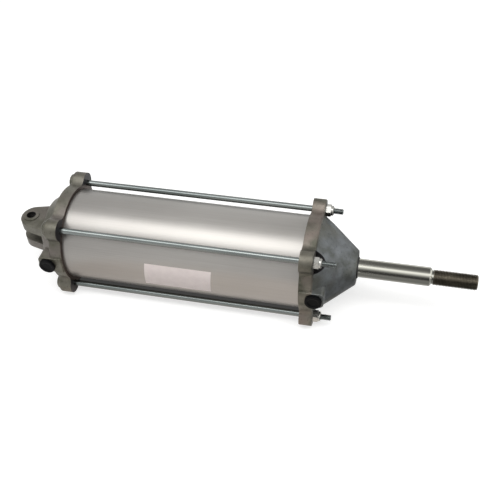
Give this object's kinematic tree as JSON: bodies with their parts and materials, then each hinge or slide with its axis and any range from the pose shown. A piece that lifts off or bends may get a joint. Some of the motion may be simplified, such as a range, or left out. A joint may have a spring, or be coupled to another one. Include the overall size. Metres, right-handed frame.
{
  "type": "pneumatic cylinder",
  "caption": "Tie-rod air cylinder with a clevis on its rear cap, a conical front cap and a chromed rod that ends in a thread.",
  "frame": {"origin": "centre of the clevis pin hole, midway between the two ears", "axes": "+X along the cylinder towards the threaded rod end, +Z along the clevis pin, ports facing -Y"},
  "size_m": [0.4818, 0.1071, 0.1026],
  "materials": {
    "rear_casting": "as cast, matt",
    "front_casting": "as cast, matt",
    "tube": "satin",
    "gasket": "matt",
    "bumper": "matt",
    "bushing": "sintered",
    "seal": "matt",
    "wiper": "matt",
    "plain_steel": "plain",
    "plug": "satin",
    "chromed_rod": "polished",
    "piston": "machined",
    "wear_ring": "matt",
    "zinc_rod": "zinc plated",
    "zinc_nut": "zinc plated",
    "nylon": "matt"
  },
  "bodies": {
    "barrel": {"rear_cap": "rear_casting", "front_cap": "front_casting", "barrel_tube": "tube", "rear_tube_gasket": "gasket", "front_tube_gasket": "gasket", "rear_bumper": "bumper", "front_bumper": "bumper", "rod_bushing": "bushing", "rod_seal": "seal", "seal_washer": "plain_steel", "rod_wiper": "wiper", "tie_rod_upper_near": "zinc_rod", "lock_nut_upper_near": "zinc_nut", "nut_insert_upper_near": "nylon", "tie_rod_upper_far": "zinc_rod", "lock_nut_upper_far": "zinc_nut", "nut_insert_upper_far": "nylon", "tie_rod_lower_near": "zinc_rod", "lock_nut_lower_near": "zinc_nut", "nut_insert_lower_near": "nylon", "tie_rod_lower_far": "zinc_rod", "lock_nut_lower_far": "zinc_nut", "nut_insert_lower_far": "nylon"},
    "piston_seals": {"piston_seal_rear": "seal", "piston_seal_front": "seal", "piston_wear_ring": "wear_ring"},
    "rod": {"piston_rod": "chromed_rod", "piston": "piston", "piston_o_ring": "seal", "piston_washer": "plain_steel", "piston_nut": "plain_steel"},
    "rear_plug": {"rear_port_plug": "plug"},
    "front_plug": {"front_port_plug": "plug"}
  },
  "joints": [
    {"name": "rod_stroke", "type": "slide", "parent": "barrel", "child": "piston_seals", "axis": [1, 0, 0], "range_m": [0, 0.2032]},
    {"name": "rod_turn", "type": "hinge", "parent": "piston_seals", "child": "rod", "pos_m": [0.0758, 0, 0], "axis": [1, 0, 0], "continuous": true},
    {"name": "rear_plug_pull", "type": "slide", "parent": "barrel", "child": "rear_plug", "axis": [0, -1, 0], "range_m": [0, 0.012]},
    {"name": "front_plug_pull", "type": "slide", "parent": "barrel", "child": "front_plug", "axis": [0, -1, 0], "range_m": [0, 0.012]}
  ]
}
